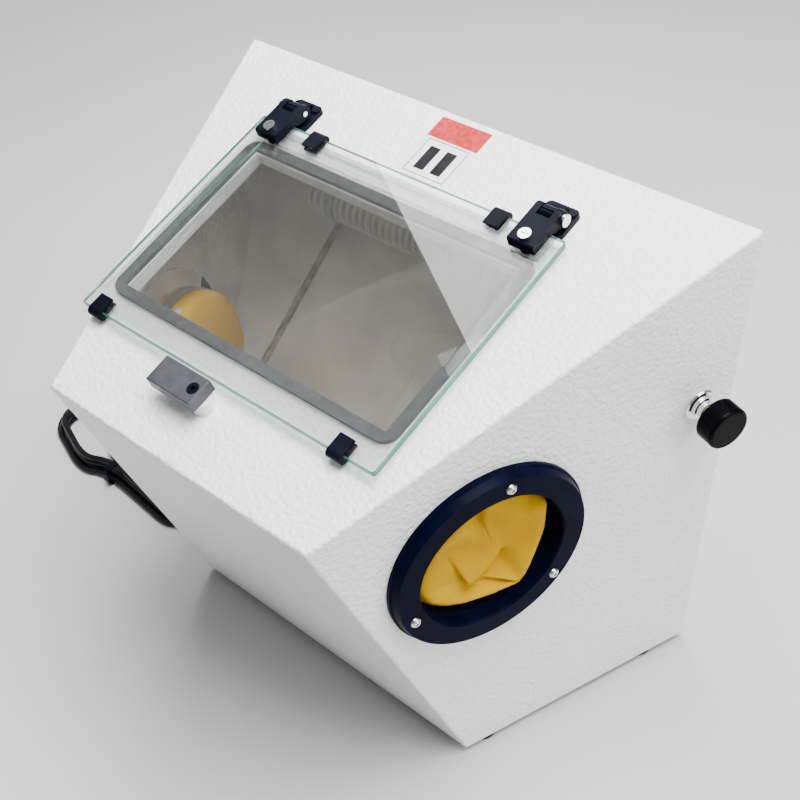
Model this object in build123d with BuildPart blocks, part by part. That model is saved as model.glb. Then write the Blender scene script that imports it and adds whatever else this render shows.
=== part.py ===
from build123d import *
from math import atan2, cos, radians, sin, tan
import os

os.makedirs("parts", exist_ok=True)

# Driving dimensions, in millimetres. The cabinet is described from its nose
# (y = 0) backwards, from its mid-plane (x = 0) outwards and from the underside
# of its base (z = 0) upwards. The part's origin is on the floor, under the
# middle of the whole object.
half_back = 230.0          # half width of the back edge, at the top
depth = 312.0
back_height = 400.0
nose_height = 295.0
base_front = 111.0         # the lower front panel runs back to here
taper = 0.329              # half width gained for each millimetre towards the back
lean = 0.040               # half width gained for each millimetre of height
sheet = 1.5
bend = 2.5
gap = 0.05                 # between faces that touch
foot_height = 6.0
spigot_length = 38.0
nose_round = 0.75          # how far the rounded nose sits back
mid_x = -8.88              # the valve knob makes the object wider on its right
nose_y = -(depth + spigot_length + nose_round) / 2

window_x = -10.0           # the window sits left of the mid-plane
window_size = (246.0, 139.0)
window_up = 160.7          # its middle, up the slope from the nose
lip = 10.0
gasket_band = 9.3
gasket_inset = 1.4
gasket_top = 4.0
glass_size = (278.0, 198.0)
glass_low = 4.5
glass_top = 9.5
film = 0.3

hinge_spread = 117.0
hinge_up = 272.5           # hinge axis, up the slope and above the panel
hinge_rise = 11.0
leaf_width = 21.0
leaf_top = 17.0
knuckle_width = 10.4
clamp_up = 247.0

latch_at = (-9.4, 46.2)
latch_low = 9.8
latch_top = 20.0

port_at = (-203.0, -179.0)  # glove port, from the side panel's top back corner
port_bore = 55.0
ring_radius = 75.0
ring_depth = 10.0
collar_length = 28.0
glove_length = 60.0
knob_at = (-33.0, -130.0)
gun_along = -95.0

duct_radius = 15.5
duct_y = 286.0
duct_z = 300.0
outlet_x = 105.0

cord_radius = 3.0
floor = -foot_height
cord_low = floor + cord_radius


def place(x, y, z):
    """A point of the cabinet, in the part's own frame."""
    return Vector(mid_x + x, nose_y + y, foot_height + z)


def half_width(y, z):
    """Half width of the cabinet at a depth and a height."""
    return half_back - taper * (depth - y) - lean * (back_height - z)


def save(piece, name):
    """Labels a finished piece and writes its STEP file."""
    piece.part.label = name
    export_step(piece.part, f"parts/{name}.step")


# The planes of the six outer faces. Each one's Z points out of the cabinet.
slope = atan2(back_height - nose_height, depth)
top_plane = Plane(origin=place(0, 0, nose_height), x_dir=(1, 0, 0), z_dir=(0, -sin(slope), cos(slope)))
section_plane = Plane(origin=top_plane.origin, x_dir=(0, cos(slope), sin(slope)), z_dir=(1, 0, 0))
front_plane = Plane(origin=place(0, 0, nose_height), x_dir=(1, 0, 0), z_dir=(0, -nose_height, -base_front))
back_plane = Plane(origin=place(0, depth, 0), x_dir=(-1, 0, 0), z_dir=(0, 1, 0))
base_plane = Plane(origin=place(0, 0, 0), x_dir=(1, 0, 0), z_dir=(0, 0, -1))
mid_plane = Plane(origin=place(0, 0, 0), x_dir=(0, 1, 0), z_dir=(1, 0, 0))
right_plane = Plane(
    origin=place(half_back, depth, back_height), x_dir=(taper, 1, 0), z_dir=(1, -taper, -lean)
)
left_plane = Plane(
    origin=place(-half_back, depth, back_height), x_dir=(taper, -1, 0), z_dir=(-1, -taper, -lean)
)


def on_side(along, up, out=0.0):
    """The right side panel's plane, moved to a point on it."""
    spot = right_plane.from_local_coords((along, up, out))
    return Plane(origin=spot, x_dir=right_plane.x_dir, z_dir=right_plane.z_dir)


def on_top(x, up, out=0.0):
    """The top panel's plane, moved to a point on it."""
    return Plane(origin=top_plane.from_local_coords((x, up, out)), x_dir=(1, 0, 0), z_dir=top_plane.z_dir)


def on_back(x, z, out=0.0):
    """The back panel's plane, moved to a point on it."""
    return Plane(origin=place(x, depth + out, z), x_dir=(-1, 0, 0), z_dir=(0, 1, 0))


def keep_inside(*planes):
    """Cuts away what is beyond each plane."""
    for plane in planes:
        split(bisect_by=plane, keep=Keep.BOTTOM)


def disc(plane, radius, height, mode=Mode.ADD):
    """A round boss or hole that starts on a plane."""
    with BuildSketch(plane) as profile:
        Circle(radius)
    extrude(profile.sketch, amount=height, mode=mode)


def block(plane, length, width, height, corner=0.0, mode=Mode.ADD):
    """A block that starts on a plane, with its upright edges rounded."""
    with BuildSketch(plane) as profile:
        if corner:
            RectangleRounded(length, width, corner)
        else:
            Rectangle(length, width)
    extrude(profile.sketch, amount=height, mode=mode)


def case_solid(inset):
    """The cabinet's outer form, with every face moved in by an inset."""
    with BuildPart() as solid:
        with BuildSketch(Plane(origin=place(0, 0, 0), x_dir=(0, 1, 0), z_dir=(1, 0, 0))):
            with BuildLine():
                Polyline(
                    (0, nose_height), (base_front, 0), (depth, 0), (depth, back_height), close=True
                )
            make_face()
            if inset:
                offset(amount=-inset, kind=Kind.INTERSECTION, mode=Mode.REPLACE)
        extrude(amount=half_back + bend, both=True)
        keep_inside(right_plane.offset(-inset), left_plane.offset(-inset))
        if not inset:
            fillet(solid.edges(), radius=bend)
    return solid.part


# Case: six panels of painted sheet steel.
case = case_solid(0)
inner_right = right_plane.offset(-sheet)
inner_left = left_plane.offset(-sheet)
inner_top = top_plane.offset(-sheet)
inner_back = back_plane.offset(-sheet)
inner_front = front_plane.offset(-sheet)
inner_base = base_plane.offset(-sheet)
port_plane = on_side(*port_at)
knob_plane = on_side(*knob_at)
gun_plane = on_side(gun_along, knob_at[1])
window_plane = on_top(window_x, window_up)
latch_plane = on_top(*latch_at)
hinge_x = [window_x - hinge_spread, window_x + hinge_spread]
port_hole = port_bore + 4.0
valve_thread = 7.0

with BuildPart() as side_panel_right:
    add(case)
    split(bisect_by=inner_right, keep=Keep.TOP)
    disc(port_plane.offset(-2 * sheet), port_hole, 4 * sheet, Mode.SUBTRACT)
    disc(knob_plane.offset(-2 * sheet), valve_thread, 4 * sheet, Mode.SUBTRACT)
save(side_panel_right, "side_panel_right")

gland_y = 268.0
gland_z = 42.0
gland_hole = 8.0
gland_origin = place(-half_width(gland_y, gland_z), gland_y, gland_z)
gland_plane = Plane(origin=gland_origin, x_dir=left_plane.x_dir, z_dir=left_plane.z_dir)
left_port_plane = Plane(
    origin=left_plane.from_local_coords((-port_at[0], port_at[1], 0)),
    x_dir=left_plane.x_dir,
    z_dir=left_plane.z_dir,
)

with BuildPart() as side_panel_left:
    add(case)
    split(bisect_by=inner_left, keep=Keep.TOP)
    disc(left_port_plane.offset(-2 * sheet), port_hole, 4 * sheet, Mode.SUBTRACT)
    disc(gland_plane.offset(-2 * sheet), gland_hole, 4 * sheet, Mode.SUBTRACT)
save(side_panel_left, "side_panel_left")

screw_hole = 2.5
window_v = window_plane.offset(-lip)
with BuildPart() as top_panel:
    add(case)
    keep_inside(inner_right, inner_left)
    split(bisect_by=inner_top, keep=Keep.TOP)
    block(window_v, window_size[0] + 2 * sheet, window_size[1] + 2 * sheet, lip)
    block(window_v.offset(-1), window_size[0], window_size[1], lip + 2, mode=Mode.SUBTRACT)
    disc(latch_plane.offset(-2 * sheet), screw_hole, 4 * sheet, Mode.SUBTRACT)
save(top_panel, "top_panel")

inlet_at = (186.5, 271.0)
inlet_hole = 5.0
inlet_plane = on_back(*inlet_at)
valve_radius = 11.0
valve_length = 28.5
with BuildPart() as back_panel:
    add(case)
    keep_inside(inner_right, inner_left, inner_top)
    split(bisect_by=inner_back, keep=Keep.TOP)
    disc(on_back(outlet_x, duct_z, -2 * sheet), duct_radius + 1.5, 4 * sheet, Mode.SUBTRACT)
    disc(on_back(*inlet_at, -2 * sheet), inlet_hole, 4 * sheet, Mode.SUBTRACT)
save(back_panel, "back_panel")

with BuildPart() as front_panel:
    add(case)
    keep_inside(inner_right, inner_left, inner_top, inner_back)
    split(bisect_by=inner_front, keep=Keep.TOP)
save(front_panel, "front_panel")

with BuildPart() as base_panel:
    add(case)
    keep_inside(inner_right, inner_left, inner_top, inner_back, inner_front)
    split(bisect_by=inner_base, keep=Keep.TOP)
save(base_panel, "base_panel")

# Chute: a folded plate that leads spent grit from the back wall down to the
# front. Its fold runs down from the back wall, left of the middle.
cavity = case_solid(sheet + 0.4)
chute_sheet = 1.0
chute_gap = 1.5            # round the valve and the air inlet
chute_back_z = 275.0
chute_front_y = 125.0
fold_top = place(-132.0, 309.0, chute_back_z + 3.4)
fold_low = place(-150.0, 211.0, 168.0)
fold_wall = place(-222.0, 300.0, 310.0)
fold_way = fold_low - fold_top
facet_right = Plane(origin=fold_top, x_dir=(1, 0, 0), z_dir=fold_way.cross(Vector(-1, 0, 0)))
facet_left = Plane(origin=fold_top, x_dir=(0, 1, 0), z_dir=fold_way.cross(fold_wall - fold_top))
fold_cut = Plane(origin=fold_top, x_dir=fold_way, z_dir=(-fold_way.Y, fold_way.X, 0))
chute_end = Plane(origin=place(0, chute_front_y, 0), x_dir=(1, 0, 0), z_dir=(0, -1, 0))


def chute_side(facet, right):
    """One flat half of the chute, on its side of the fold."""
    upward = facet if facet.z_dir.Z > 0 else Plane(facet.origin, facet.x_dir, -facet.z_dir)
    with BuildPart() as half:
        add(cavity)
        split(bisect_by=upward, keep=Keep.TOP)
        split(bisect_by=upward.offset(chute_sheet), keep=Keep.BOTTOM)
        split(bisect_by=fold_cut, keep=Keep.TOP if right else Keep.BOTTOM)
        keep_inside(chute_end)
    return half.part


with BuildPart() as chute_plate:
    add(chute_side(facet_right, fold_cut.z_dir.X > 0))
    add(chute_side(facet_left, fold_cut.z_dir.X < 0))
    disc(knob_plane, valve_radius + chute_gap, -valve_length - 4, Mode.SUBTRACT)
    disc(inlet_plane, inlet_hole + chute_gap, -14, Mode.SUBTRACT)
save(chute_plate, "chute_plate")

# Feet and the fasteners of the case.
foot_radius = 11.0
foot_spots = [(-142, 136), (142, 136), (-189, 280), (189, 280)]
with BuildPart() as feet:
    for x, y in foot_spots:
        with BuildSketch(Plane(origin=place(x, y, floor), x_dir=(1, 0, 0), z_dir=(0, 0, 1))) as tread:
            Circle(foot_radius)
        extrude(tread.sketch, amount=foot_height, taper=6)
save(feet, "feet")

foot_nut = (4.5, 3.2)
with BuildPart() as foot_nuts:
    for x, y in foot_spots:
        inside = Plane(origin=place(x, y, sheet), x_dir=(1, 0, 0), z_dir=(0, 0, 1))
        with BuildSketch(inside) as hexagon:
            RegularPolygon(foot_nut[0], 6)
        extrude(hexagon.sketch, amount=foot_nut[1])
save(foot_nuts, "foot_nuts")

back_screw_head = (3.8, 2.4)
back_screw_slot = (4.4, 1.0)
back_screw_spots = [(x, z) for x in (-0.92, 0.92) for z in (0.05, 0.5, 0.95)]
with BuildPart() as back_screws:
    for x, z in back_screw_spots:
        height = z * back_height
        head = on_back(x * half_width(depth, height), height)
        disc(head, *back_screw_head)
        with BuildSketch(head.offset(1.4)) as slot:
            Rectangle(*back_screw_slot)
            Rectangle(*back_screw_slot[::-1])
        extrude(slot.sketch, amount=2, mode=Mode.SUBTRACT)
save(back_screws, "back_screws")

# Window: gasket on the panel, glass pane over it, film and clips on the glass.
with BuildPart() as window_gasket:
    gasket_plane = window_plane.offset(gap)
    outer_size = [side + 2 * gasket_band for side in window_size]
    inner_size = [side + 2 * gasket_inset for side in window_size]
    block(gasket_plane, *outer_size, gasket_top - gap, corner=11)
    block(gasket_plane, *inner_size, gasket_top, mode=Mode.SUBTRACT)
save(window_gasket, "window_gasket")

glass_thick = glass_top - glass_low
clamp_hole = 2.5
clamp_spots = [(x, clamp_up) for x in hinge_x]
with BuildPart() as glass_pane:
    block(window_plane.offset(glass_low), *glass_size, glass_thick, corner=2.5)
    chamfer(glass_pane.faces().group_by(SortBy.AREA)[-1].edges(), length=0.6)
    for x, up in clamp_spots:
        disc(on_top(x, up, glass_low), clamp_hole, glass_thick, Mode.SUBTRACT)
save(glass_pane, "glass_pane")

film_margin = 4.0
film_hole = 7.0
with BuildPart() as protective_film:
    film_plane = window_plane.offset(glass_low - film)
    block(film_plane, glass_size[0] - 2 * film_margin, glass_size[1] - 2 * film_margin, film)
    for x, up in clamp_spots:
        disc(on_top(x, up, glass_low - film), film_hole, film, Mode.SUBTRACT)
save(protective_film, "protective_film")

clip_wall = 1.8
clip_reach = 12.0
clip_width = 12.0
front_edge = window_up - glass_size[1] / 2
back_edge = window_up + glass_size[1] / 2
clip_spots = [(-132, front_edge, 1), (99, front_edge, 1), (-92, back_edge, -1), (76, back_edge, -1)]
clip_low = glass_low - film - clip_wall
clip_height = glass_top + clip_wall - clip_low
with BuildPart() as edge_clips:
    for x, edge, inward in clip_spots:
        with BuildSketch(section_plane.offset(x - clip_width / 2)) as channel:
            with Locations((edge + inward * clip_reach / 2, clip_low + clip_height / 2)):
                Rectangle(clip_reach, clip_height)
            with Locations((edge, clip_low + clip_height / 2)):
                Circle(clip_height / 2)
            with Locations((edge + inward * clip_reach, (glass_low - film + glass_top) / 2)):
                Rectangle(2 * clip_reach, glass_top - glass_low + film, mode=Mode.SUBTRACT)
        extrude(channel.sketch, amount=clip_width)
save(edge_clips, "edge_clips")

label_at = (-2.5, 283.6)
label_size = (47.0, 78.0)
label_thick = 0.3
with BuildPart() as label_plate:
    block(on_top(*label_at, 0.02), *label_size, label_thick)
save(label_plate, "label_plate")

# Lid hinges: a forked leaf clamped on the glass turns on a knuckle.
leaf_front = 240.5
leaf_round = leaf_top - hinge_rise
fork_gap = knuckle_width + 0.6
foot_plate = 4.0
pin_radius = 2.0
pin_head = (4.4, 2.6)
knuckle_radius = 5.4
knuckle_step = 4.5         # the knuckle's block reaches this far either side of the axis
stop_reach = 14.0
stop_drop = 1.5
base_foot = (26.0, 25.0)
base_screw_across = 9.2
base_screw_back = 10.5
base_screw = 1.6
axis_spot = (hinge_up, hinge_rise)


def axis_plane(x):
    """A plane across the hinge axis."""
    spot = top_plane.from_local_coords((x, *axis_spot))
    return Plane(origin=spot, x_dir=section_plane.x_dir, z_dir=section_plane.z_dir)


def hinge_leaf(x):
    """The moving leaf, in the middle of its width at x."""
    with BuildPart() as leaf:
        with BuildSketch(section_plane.offset(x - leaf_width / 2)) as side:
            with BuildLine():
                Polyline(
                    (leaf_front, glass_top),
                    (leaf_front, leaf_top),
                    (hinge_up, leaf_top),
                    (hinge_up, hinge_rise - leaf_round),
                    (back_edge + 2.5, glass_top - 1.5),
                    (back_edge + 2.0, glass_top),
                    close=True,
                )
            make_face()
            with Locations(axis_spot):
                Circle(leaf_round)
        extrude(side.sketch, amount=leaf_width)
        front_top = leaf.edges().filter_by(Axis.X).group_by(Axis.Y)[0]
        chamfer(front_top, length=1.0)
        fork = on_top(x, hinge_up + 4, -10)
        block(fork, fork_gap, 22, 40, mode=Mode.SUBTRACT)
        disc(axis_plane(x - leaf_width), pin_radius + 0.08, 2 * leaf_width, Mode.SUBTRACT)
        disc(on_top(x, clamp_up, 0), pin_radius + 0.1, 30, Mode.SUBTRACT)
    return leaf


def hinge_base(x):
    """The fixed half of a hinge: foot, knuckle and the stop behind it."""
    with BuildPart() as base:
        block(on_top(x, hinge_up + 3, gap), *base_foot, foot_plate - gap, corner=4)
        with BuildSketch(section_plane.offset(x - knuckle_width / 2)) as side:
            with BuildLine():
                Polyline(
                    (hinge_up - knuckle_step, foot_plate - 1),
                    (hinge_up - knuckle_step, hinge_rise),
                    (hinge_up + knuckle_step, hinge_rise),
                    (hinge_up + knuckle_step + 3, hinge_rise - stop_drop),
                    (hinge_up + stop_reach - 3, hinge_rise - 2 * stop_drop),
                    (hinge_up + stop_reach, foot_plate - 1),
                    close=True,
                )
            make_face()
            with Locations(axis_spot):
                Circle(knuckle_radius)
            with Locations((hinge_up - 1.2, hinge_rise + knuckle_radius + 0.2)):
                Circle(1.1, mode=Mode.SUBTRACT)
        extrude(side.sketch, amount=knuckle_width)
        disc(axis_plane(x - knuckle_width), pin_radius, 2 * knuckle_width, Mode.SUBTRACT)
        for across in (-1, 1):
            hole = on_top(x + across * base_screw_across, hinge_up + base_screw_back)
            disc(hole, base_screw, 2 * foot_plate, Mode.SUBTRACT)
    return base


hinge_bases = [hinge_base(x) for x in hinge_x]
hinge_leaves = [hinge_leaf(x) for x in hinge_x]
for name, index in (("left", 0), ("right", 1)):
    save(hinge_bases[index], f"hinge_base_{name}")
    save(hinge_leaves[index], f"hinge_leaf_{name}")

with BuildPart() as hinge_pins:
    for x, outward in zip(hinge_x, (-1, 1)):
        reach = leaf_width + 1.0
        disc(axis_plane(x - reach / 2), pin_radius, reach)
        head_from = x + outward * (leaf_width / 2 + 0.3) - (pin_head[1] if outward < 0 else 0)
        disc(axis_plane(head_from), *pin_head)
save(hinge_pins, "hinge_pins")

base_screw_head = 2.9
with BuildPart() as hinge_base_screws:
    for x in hinge_x:
        for across in (-1, 1):
            spot = (x + across * base_screw_across, hinge_up + base_screw_back)
            disc(on_top(*spot, gap), base_screw - 0.1, foot_plate)
            disc(on_top(*spot, foot_plate), base_screw_head, 1.8)
    fillet(hinge_base_screws.faces().group_by(Axis.Z)[-1].edges(), radius=0.4)
save(hinge_base_screws, "hinge_base_screws")

clamp_head = (4.5, 2.6)
cross_slot = (5.0, 1.1)
pad_thick = 1.6
with BuildPart() as hinge_clamp_screws:
    for x, up in clamp_spots:
        disc(on_top(x, up, glass_low - pad_thick + 0.1), pin_radius, leaf_top - glass_low + pad_thick - 0.1)
        disc(on_top(x, up, leaf_top), *clamp_head)
        with BuildSketch(on_top(x, up, leaf_top + 1.6)) as cross:
            Rectangle(*cross_slot)
            Rectangle(*cross_slot[::-1])
        extrude(cross.sketch, amount=2, mode=Mode.SUBTRACT)
save(hinge_clamp_screws, "hinge_clamp_screws")

with BuildPart() as clamp_pads:
    for x, up in clamp_spots:
        pad_plane = on_top(x, up, glass_low - pad_thick)
        disc(pad_plane, film_hole - 1.4, pad_thick)
        disc(pad_plane, pin_radius, pad_thick, Mode.SUBTRACT)
save(clamp_pads, "clamp_pads")

# Swivel latch: a block that turns on a socket screw, over a nylon spacer.
latch_size = (42.0, 21.0)
latch_pivot_in = 6.2
latch_floor = 15.8
head_radius = 4.1
spacer_radius = 8.5
latch_nut = (4.3, 3.2)
with BuildPart() as latch_block:
    block_middle = latch_at[0] + latch_pivot_in - latch_size[0] / 2
    block(on_top(block_middle, latch_at[1], latch_low), *latch_size, latch_top - latch_low)
    chamfer(latch_block.edges(), length=0.6)
    disc(latch_plane, screw_hole, 30, Mode.SUBTRACT)
    disc(on_top(*latch_at, latch_floor), head_radius + 0.4, 10, Mode.SUBTRACT)
save(latch_block, "latch_block")

with BuildPart() as latch_spacer:
    disc(on_top(*latch_at, gap), spacer_radius, latch_low - 3 * gap)
    chamfer(latch_spacer.edges(), length=0.4)
    disc(latch_plane, screw_hole, 12, Mode.SUBTRACT)
save(latch_spacer, "latch_spacer")

with BuildPart() as latch_screw:
    disc(on_top(*latch_at, -8), screw_hole - 0.1, 8 + latch_floor + 0.3)
    disc(on_top(*latch_at, latch_floor + 0.2), head_radius, 3.6)
    with BuildSketch(on_top(*latch_at, latch_floor + 1.6)) as socket:
        RegularPolygon(2.3, 6)
    extrude(socket.sketch, amount=4, mode=Mode.SUBTRACT)
    disc(on_top(*latch_at, -6.5), *latch_nut)
save(latch_screw, "latch_screw")

# Glove ports: ring outside, collar inside, and a rubber glove on the collar.
ring_edge = 1.2
ring_screw_radius = 64.0
ring_screw_angles = (80, -40, -160)
ring_screw_spots = [
    (ring_screw_radius * cos(radians(a)), ring_screw_radius * sin(radians(a)))
    for a in ring_screw_angles
]


def turned(plane, points):
    """Turns a closed outline of (radius, height) points about a plane's Z."""
    axis = Axis(plane.origin, plane.z_dir)
    across = Plane(origin=plane.origin, x_dir=plane.x_dir, z_dir=-plane.y_dir)
    with BuildSketch(across) as outline:
        with BuildLine():
            Polyline(*points, close=True)
        make_face()
    revolve(outline.sketch, axis=axis)


with BuildPart() as glove_ring_right:
    turned(
        port_plane,
        [
            (port_bore, gap),
            (ring_radius, gap),
            (ring_radius, 0.3 * ring_depth),
            (ring_radius - 1.6, 0.42 * ring_depth),
            (ring_radius - 3.4, ring_depth),
            (port_bore + ring_edge, ring_depth),
            (port_bore, ring_depth - ring_edge),
        ],
    )
save(glove_ring_right, "glove_ring_right")

with BuildPart() as ring_screws_right:
    for x, y in ring_screw_spots:
        spot = port_plane.from_local_coords((x, y, ring_depth))
        turned(
            Plane(origin=spot, x_dir=port_plane.x_dir, z_dir=port_plane.z_dir),
            [(0, 0), (3.9, 0), (3.6, 1.1), (2.6, 2.1), (1.3, 2.4), (1.3, 1.2), (0, 1.2)],
        )
save(ring_screws_right, "ring_screws_right")

collar_wall = 2.5
collar_flange = 3.5
collar_end = -sheet - collar_length
with BuildPart() as glove_collar_right:
    turned(
        port_plane,
        [
            (port_bore, 0),
            (port_bore, collar_end),
            (port_bore + collar_wall, collar_end),
            (port_bore + collar_wall, -sheet - collar_flange),
            (ring_radius - 2, -sheet - collar_flange),
            (ring_radius - 2, -sheet - gap),
            (port_hole - 0.3, -sheet - gap),
            (port_hole - 0.3, 0),
        ],
    )
save(glove_collar_right, "glove_collar_right")

cuff_in = port_bore + collar_wall + gap
rubber = 2.0
cuff_from = -sheet - 8.0
tip = collar_end - glove_length
with BuildPart() as glove_right:
    turned(
        port_plane,
        [
            (cuff_in, cuff_from),
            (cuff_in + rubber, cuff_from),
            (cuff_in + rubber, collar_end - 12),
            (46, tip + 30),
            (34, tip + 6),
            (18, tip),
            (0, tip),
            (0, tip + rubber),
            (17, tip + rubber),
            (32, tip + 7.5),
            (44, tip + 30.5),
            (cuff_in, collar_end - 12),
        ],
    )
save(glove_right, "glove_right")

clamp_in = cuff_in + rubber + gap
clamp_from = cuff_from - 5
clamp_band = 1.15
clamp_width = 9.0
with BuildPart() as cuff_clamp_right:
    turned(
        port_plane,
        [
            (clamp_in, clamp_from),
            (clamp_in + clamp_band, clamp_from),
            (clamp_in + clamp_band, clamp_from - clamp_width),
            (clamp_in, clamp_from - clamp_width),
        ],
    )
save(cuff_clamp_right, "cuff_clamp_right")

for name, piece in (
    ("glove_ring", glove_ring_right),
    ("ring_screws", ring_screws_right),
    ("glove_collar", glove_collar_right),
    ("glove", glove_right),
    ("cuff_clamp", cuff_clamp_right),
):
    with BuildPart() as mirrored:
        mirror(piece.part, about=mid_plane)
    save(mirrored, f"{name}_left")

# Air valve in the right side panel, its inlet, and the blast gun.
inlet_shank = inlet_hole - 0.1
shank_length = 12.0
gun_radius = 9.0
valve_bore = 4.2
with BuildPart() as valve_flange:
    turned(
        knob_plane,
        [
            (valve_bore, gap), (12.0, gap), (12.0, 1.4), (11.0, 2.4), (8.6, 2.8),
            (8.0, 5.2), (6.6, 5.6), (6.2, 9.0), (valve_bore, 9.0),
        ],
    )
save(valve_flange, "valve_flange")

pipe_radius = 3.0
pipe_start = right_plane.from_local_coords((knob_at[0] - valve_radius + 1.5, knob_at[1], -25.5))
pipe_plane = Plane(origin=pipe_start, z_dir=-right_plane.x_dir)
pipe_length = knob_at[0] - valve_radius - gun_along - gun_radius + 3.0
with BuildPart() as valve_body:
    disc(knob_plane, valve_thread - 0.2, -sheet)
    disc(knob_plane.offset(-sheet), valve_radius, -valve_length)
    disc(knob_plane.offset(-sheet - 22), valve_bore, 30, Mode.SUBTRACT)
    disc(inlet_plane, inlet_shank + 0.02, -shank_length, Mode.SUBTRACT)
    disc(pipe_plane, pipe_radius + 0.02, 4, Mode.SUBTRACT)
save(valve_body, "valve_body")

knob_low = 15.0
knob_radius = 16.0
knob_length = 16.0
stem_radius = 3.5
stem_in = 9.0
with BuildPart() as valve_knob:
    disc(knob_plane.offset(knob_low), knob_radius, knob_length)
    fillet(valve_knob.edges(), radius=2.4)
    disc(knob_plane.offset(knob_low), stem_radius, stem_in, Mode.SUBTRACT)
save(valve_knob, "valve_knob")

with BuildPart() as valve_stem:
    disc(knob_plane.offset(-20), stem_radius, 20 + knob_low + stem_in)
    disc(knob_plane.offset(9.4), 5.6, 5.2)
save(valve_stem, "valve_stem")

nipple_length = 24.0
nipple_radius = 4.0
nipple_bore = 2.5
nut_radius = 9.5
nut_thick = 8.0
with BuildPart() as air_inlet:
    with BuildSketch(inlet_plane.offset(gap)) as hexagon:
        RegularPolygon(nut_radius, 6)
    extrude(hexagon.sketch, amount=nut_thick)
    disc(inlet_plane.offset(nut_thick), nipple_radius, nipple_length)
    disc(inlet_plane.offset(gap), inlet_shank, -shank_length - gap)
    disc(inlet_plane.offset(-shank_length - 1), nipple_bore, 2 * spigot_length, Mode.SUBTRACT)
save(air_inlet, "air_inlet")

gun_length = 78.0
mount_foot = (20.0, 4.0)
mount_socket = (13.0, 16.0)
with BuildPart() as gun_mount:
    disc(gun_plane.offset(-sheet - gap), mount_foot[0], -mount_foot[1])
    disc(gun_plane.offset(-sheet - mount_foot[1]), mount_socket[0], -mount_socket[1])
    disc(gun_plane.offset(-sheet), gun_radius + gap, -2 * sum(mount_socket), Mode.SUBTRACT)
save(gun_mount, "gun_mount")

gun_tip = 6.5
nozzle_radius = 3.6
nozzle_bore = 1.5
with BuildPart() as gun_body:
    disc(gun_plane.offset(-sheet - 2), gun_radius, -gun_length)
    disc(gun_plane.offset(-sheet - 2 - gun_length), gun_tip, -10)
    disc(gun_plane.offset(-sheet - gun_length), nozzle_radius, -14, Mode.SUBTRACT)
    disc(pipe_plane, pipe_radius + 0.02, pipe_length, Mode.SUBTRACT)
save(gun_body, "gun_body")

with BuildPart() as gun_nozzle:
    turned(
        gun_plane.offset(-sheet - gun_length),
        [
            (nozzle_bore, -4),
            (nozzle_radius, -4),
            (nozzle_radius, -20),
            (nozzle_radius - 1, -30),
            (nozzle_bore, -30),
        ],
    )
save(gun_nozzle, "gun_nozzle")

with BuildPart() as air_pipe:
    disc(pipe_plane, pipe_radius, pipe_length)
save(air_pipe, "air_pipe")

# Lamp under the top panel, behind the window.
lamp_up = 290.0
lamp_size = (220.0, 26.0)
lamp_depth = 12.0
lamp_rim = 7.0
lamp_plane = on_top(window_x, lamp_up, -sheet - gap)
lens_size = (lamp_size[0] - 2 * lamp_rim, 16.0)
lens_depth = 5.0
with BuildPart() as lamp_housing:
    block(lamp_plane.offset(-lamp_depth), *lamp_size, lamp_depth, corner=3)
    block(lamp_plane.offset(-lamp_depth - 1), *lens_size, lens_depth, mode=Mode.SUBTRACT)
save(lamp_housing, "lamp_housing")

with BuildPart() as lamp_lens:
    lens_plane = lamp_plane.offset(-lamp_depth - 0.8)
    block(lens_plane, lens_size[0] - 0.4, lens_size[1] - 0.4, lens_depth - 0.4, corner=3)
save(lamp_lens, "lamp_lens")

# Dust extraction: a corrugated duct along the back wall, an elbow through it.
duct_wall = 2.0
elbow_x = outlet_x - 2 * duct_radius
duct_left = -140.0
flange_thick = 3.0
bend_radius = duct_radius + 2.0
neck_radius = duct_radius - 0.5
spigot_y = depth + flange_thick + gap


def along_x(x):
    """A plane across the duct."""
    return Plane(origin=place(x, duct_y, duct_z), x_dir=(0, 1, 0), z_dir=(1, 0, 0))


def along_y(y):
    """A plane across the outlet."""
    return Plane(origin=place(outlet_x, y, duct_z), x_dir=(-1, 0, 0), z_dir=(0, 1, 0))


bore = duct_radius - duct_wall
elbow_points = [(elbow_x, duct_y), (outlet_x, duct_y), (outlet_x, spigot_y)]
with BuildPart() as outlet_elbow:
    with BuildLine() as elbow_path:
        FilletPolyline(*[place(x, y, duct_z) for x, y in elbow_points], radius=bend_radius)
    with BuildSketch(along_x(elbow_x)) as pipe:
        Circle(neck_radius)
        Circle(bore, mode=Mode.SUBTRACT)
    sweep(pipe.sketch, path=elbow_path.line)
    with BuildSketch(along_y(spigot_y)) as spigot:
        Circle(duct_radius)
        Circle(bore, mode=Mode.SUBTRACT)
    extrude(spigot.sketch, amount=depth + spigot_length - spigot_y)
save(outlet_elbow, "outlet_elbow")

with BuildPart() as outlet_flange:
    flange_plane = on_back(outlet_x, duct_z, gap)
    block(flange_plane, 44, 44, flange_thick, corner=6)
    disc(flange_plane, duct_radius, flange_thick, Mode.SUBTRACT)
save(outlet_flange, "outlet_flange")

with BuildPart() as extraction_duct:
    disc(along_x(duct_left), duct_radius + 1, elbow_x - duct_left)
    disc(along_x(duct_left), duct_radius - duct_wall, elbow_x - duct_left, Mode.SUBTRACT)
save(extraction_duct, "extraction_duct")

clip_strap = (14.0, 8.0)
with BuildPart() as duct_clips:
    for x in (-120, 40):
        hook = along_x(x)
        disc(hook, duct_radius + 3, clip_strap[1])
        reach = depth - sheet - gap - duct_y
        with BuildSketch(hook) as strap:
            with Locations((reach / 2, 0)):
                Rectangle(reach, clip_strap[0])
        extrude(strap.sketch, amount=clip_strap[1])
        disc(hook, duct_radius + 1 + gap, clip_strap[1], Mode.SUBTRACT)
save(duct_clips, "duct_clips")

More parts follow.
